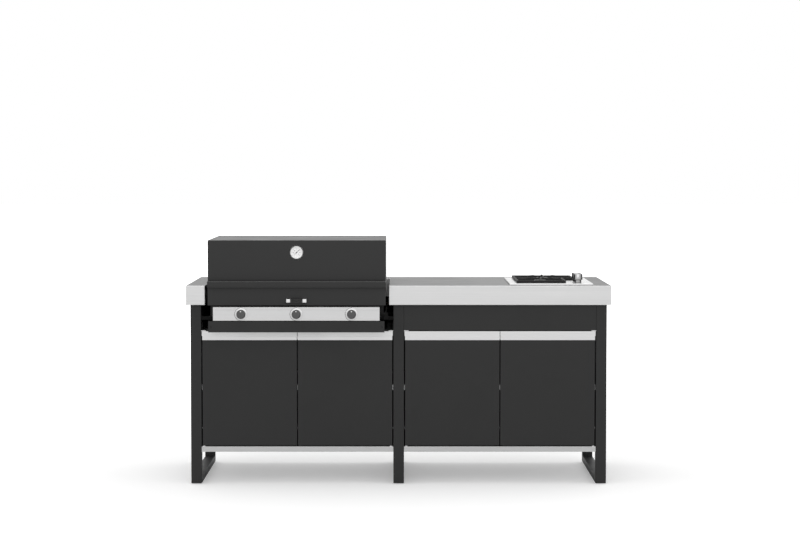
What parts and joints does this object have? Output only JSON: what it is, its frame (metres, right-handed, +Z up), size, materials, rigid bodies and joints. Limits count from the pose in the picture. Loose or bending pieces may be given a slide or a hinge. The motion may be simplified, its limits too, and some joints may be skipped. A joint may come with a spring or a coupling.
{
  "type": "outdoor kitchen island",
  "caption": "Free-standing outdoor kitchen island: black steel frames, steel worktop, drop-in gas grill with hinged lid, side hob, cabinet doors and a drip tray.",
  "frame": {"origin": "on the floor, at the middle of the overall box", "axes": "+X to the right along the width, +Y to the back, +Z up; doors face -Y"},
  "size_m": [1.988, 0.815, 1.148],
  "materials": {
    "black_steel": "matt black powder coat",
    "lid_enamel": "satin black enamel",
    "stainless": "brushed along the width",
    "aluminium_trim": "satin anodised",
    "fire_steel": "plain, heat-tinted",
    "cast_iron": "matt enamel",
    "bright_steel": "fine turned",
    "dark_plastic": "fine texture",
    "dial_white": "printed face",
    "clear_glass": "clear",
    "needle_dark": "matt",
    "gas_brass": "plain",
    "glide_rubber": "moulded"
  },
  "bodies": {
    "root": {"back_panels": "black_steel", "burner_tubes": "fire_steel", "cabinet_floors": "aluminium_trim", "control_panel": "stainless", "door_catches": "bright_steel", "door_pivots": "bright_steel", "end_panels": "black_steel", "firebox": "fire_steel", "flame_tamers": "fire_steel", "foot_glides": "glide_rubber", "frame_left": "black_steel", "frame_middle": "black_steel", "frame_right": "black_steel", "front_angles": "black_steel", "gas_inlets": "gas_brass", "gas_manifold": "gas_brass", "gas_pipes": "gas_brass", "gas_valves": "gas_brass", "grill_bearers": "black_steel", "hob_burners": "cast_iron", "hob_plate": "stainless", "hob_valves": "gas_brass", "knob_bezels": "bright_steel", "lid_hinge_brackets": "bright_steel", "lower_shelves": "aluminium_trim", "middle_shelves": "aluminium_trim", "rear_rails": "black_steel", "right_fascia": "black_steel", "side_panels": "black_steel", "tray_runners": "black_steel", "worktop": "stainless"},
    "lid": {"lid_hood": "lid_enamel", "lid_rim": "lid_enamel", "lid_front_band": "lid_enamel", "lid_handle_posts": "bright_steel", "lid_handle_grip": "dark_plastic", "lid_hinge_arms": "bright_steel", "thermometer_case": "bright_steel", "thermometer_dial": "dial_white", "thermometer_glass": "clear_glass"},
    "needle": {"thermometer_needle": "needle_dark"},
    "door_1": {"door_panel_1": "black_steel", "door_pull_1": "aluminium_trim"},
    "door_2": {"door_panel_2": "black_steel", "door_pull_2": "aluminium_trim"},
    "door_3": {"door_panel_3": "black_steel", "door_pull_3": "aluminium_trim"},
    "door_4": {"door_panel_4": "black_steel", "door_pull_4": "aluminium_trim"},
    "tray": {"drip_tray": "stainless", "drip_tray_front": "black_steel"},
    "knob_left": {"grill_knob_left": "dark_plastic"},
    "knob_middle": {"grill_knob_middle": "dark_plastic"},
    "knob_right": {"grill_knob_right": "dark_plastic"},
    "hob_knob_a": {"hob_knob_front": "bright_steel"},
    "hob_knob_b": {"hob_knob_rear": "bright_steel"},
    "grate_left": {"cooking_grate_left": "cast_iron"},
    "grate_right": {"cooking_grate_right": "cast_iron"},
    "support_front": {"pan_support_front": "cast_iron"},
    "support_rear": {"pan_support_rear": "cast_iron"}
  },
  "joints": [
    {"name": "lid_hinge", "type": "hinge", "parent": "root", "child": "lid", "pos_m": [-0.475, 0.2745, 0.951], "axis": [-1, 0, 0], "range_deg": [0, 90]},
    {"name": "needle_turn", "type": "hinge", "parent": "lid", "child": "needle", "pos_m": [-0.475, -0.3365, 1.091], "axis": [0, 1, 0], "range_deg": [-180, 90]},
    {"name": "tray_slide", "type": "slide", "parent": "root", "child": "tray", "axis": [0, -1, 0], "range_m": [0, 0.35]},
    {"name": "door_1_hinge", "type": "hinge", "parent": "root", "child": "door_1", "pos_m": [-0.914, -0.2865, 0.43], "axis": [0, 0, -1], "range_deg": [0, 90]},
    {"name": "door_2_hinge", "type": "hinge", "parent": "root", "child": "door_2", "pos_m": [-0.036, -0.2865, 0.43], "axis": [0, 0, 1], "range_deg": [0, 90]},
    {"name": "door_3_hinge", "type": "hinge", "parent": "root", "child": "door_3", "pos_m": [0.036, -0.2865, 0.43], "axis": [0, 0, -1], "range_deg": [0, 90]},
    {"name": "door_4_hinge", "type": "hinge", "parent": "root", "child": "door_4", "pos_m": [0.914, -0.2865, 0.43], "axis": [0, 0, 1], "range_deg": [0, 90]},
    {"name": "knob_left_turn", "type": "hinge", "parent": "root", "child": "knob_left", "pos_m": [-0.7315, -0.3775, 0.806], "axis": [0, -1, 0], "range_deg": [0, 200]},
    {"name": "knob_middle_turn", "type": "hinge", "parent": "root", "child": "knob_middle", "pos_m": [-0.475, -0.3775, 0.806], "axis": [0, -1, 0], "range_deg": [0, 200]},
    {"name": "knob_right_turn", "type": "hinge", "parent": "root", "child": "knob_right", "pos_m": [-0.2185, -0.3775, 0.806], "axis": [0, -1, 0], "range_deg": [0, 200]},
    {"name": "hob_knob_a_turn", "type": "hinge", "parent": "root", "child": "hob_knob_a", "pos_m": [0.844, -0.2315, 0.95], "axis": [0, 0, 1], "range_deg": [0, 200]},
    {"name": "hob_knob_b_turn", "type": "hinge", "parent": "root", "child": "hob_knob_b", "pos_m": [0.844, -0.1415, 0.95], "axis": [0, 0, 1], "range_deg": [0, 200]},
    {"name": "grate_left_lift", "type": "slide", "parent": "root", "child": "grate_left", "axis": [0, 0, 1], "range_m": [0, 0.12]},
    {"name": "grate_right_lift", "type": "slide", "parent": "root", "child": "grate_right", "axis": [0, 0, 1], "range_m": [0, 0.12]},
    {"name": "support_front_lift", "type": "slide", "parent": "root", "child": "support_front", "axis": [0, 0, 1], "range_m": [0, 0.1]},
    {"name": "support_rear_lift", "type": "slide", "parent": "root", "child": "support_rear", "axis": [0, 0, 1], "range_m": [0, 0.1]}
  ]
}
